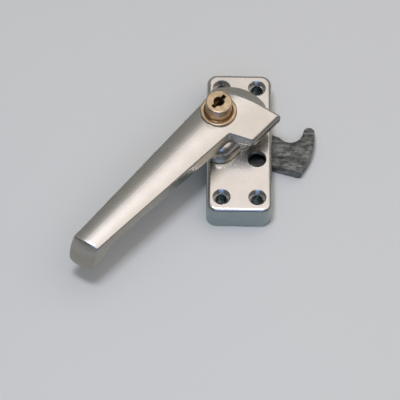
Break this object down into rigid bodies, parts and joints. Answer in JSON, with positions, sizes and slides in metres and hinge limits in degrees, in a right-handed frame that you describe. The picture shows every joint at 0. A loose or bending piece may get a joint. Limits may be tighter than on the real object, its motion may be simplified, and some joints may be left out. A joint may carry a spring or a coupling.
{
  "type": "window lock",
  "caption": "Surface-mounted window lock: a cast lever with a finger lip turns a side hook, and a push cylinder with a key slot in the lever's head locks it.",
  "frame": {"origin": "middle of the housing's back face, on the pivot axis and at the centre of the four screw holes", "axes": "+Z out of the window frame, +Y along the housing, +X towards the side the hook comes out of"},
  "size_m": [0.1049, 0.0987, 0.0376],
  "materials": {
    "housing_casting": "satin chrome plate on a zinc die casting",
    "lever_casting": "satin chrome plate on a zinc die casting, brushed along the arm",
    "hook_steel": "zinc plated steel plate, mottled",
    "plated_steel": "zinc plated steel",
    "spring_steel": "dark spring steel",
    "brass": "polished brass, a little worn",
    "bronze": "turned bronze",
    "acetal": "white acetal"
  },
  "bodies": {
    "housing": {"housing": "housing_casting", "bearing_bush": "bronze"},
    "lever": {"spindle": "plated_steel", "spindle_screw": "plated_steel", "hook": "hook_steel", "hook_washer": "plated_steel", "spring_washer": "spring_steel", "handle_washer": "acetal", "handle": "lever_casting", "handle_grub_screw": "spring_steel", "lock_collar": "brass", "retaining_pin": "plated_steel", "lock_spring": "spring_steel"},
    "cylinder": {"lock_barrel": "brass", "lock_bolt": "plated_steel"},
    "plug": {"lock_plug": "brass", "plug_lug": "plated_steel", "wafer_tumblers": "brass", "wafer_springs": "spring_steel"}
  },
  "joints": [
    {"name": "lever_turn", "type": "hinge", "parent": "housing", "child": "lever", "pos_m": [0, 0, 0.0131], "axis": [0, 0, 1], "range_deg": [-42, 0]},
    {"name": "cylinder_push", "type": "slide", "parent": "lever", "child": "cylinder", "axis": [0, 0, -1], "range_m": [0, 0.0055], "stiffness_N_per_m": 400, "springref_m": -0.004, "deforming": ["lock_spring"]},
    {"name": "key_turn", "type": "hinge", "parent": "cylinder", "child": "plug", "pos_m": [-0.00949, 0.00515, 0.03], "axis": [0, 0, 1], "range_deg": [0, 90]}
  ]
}
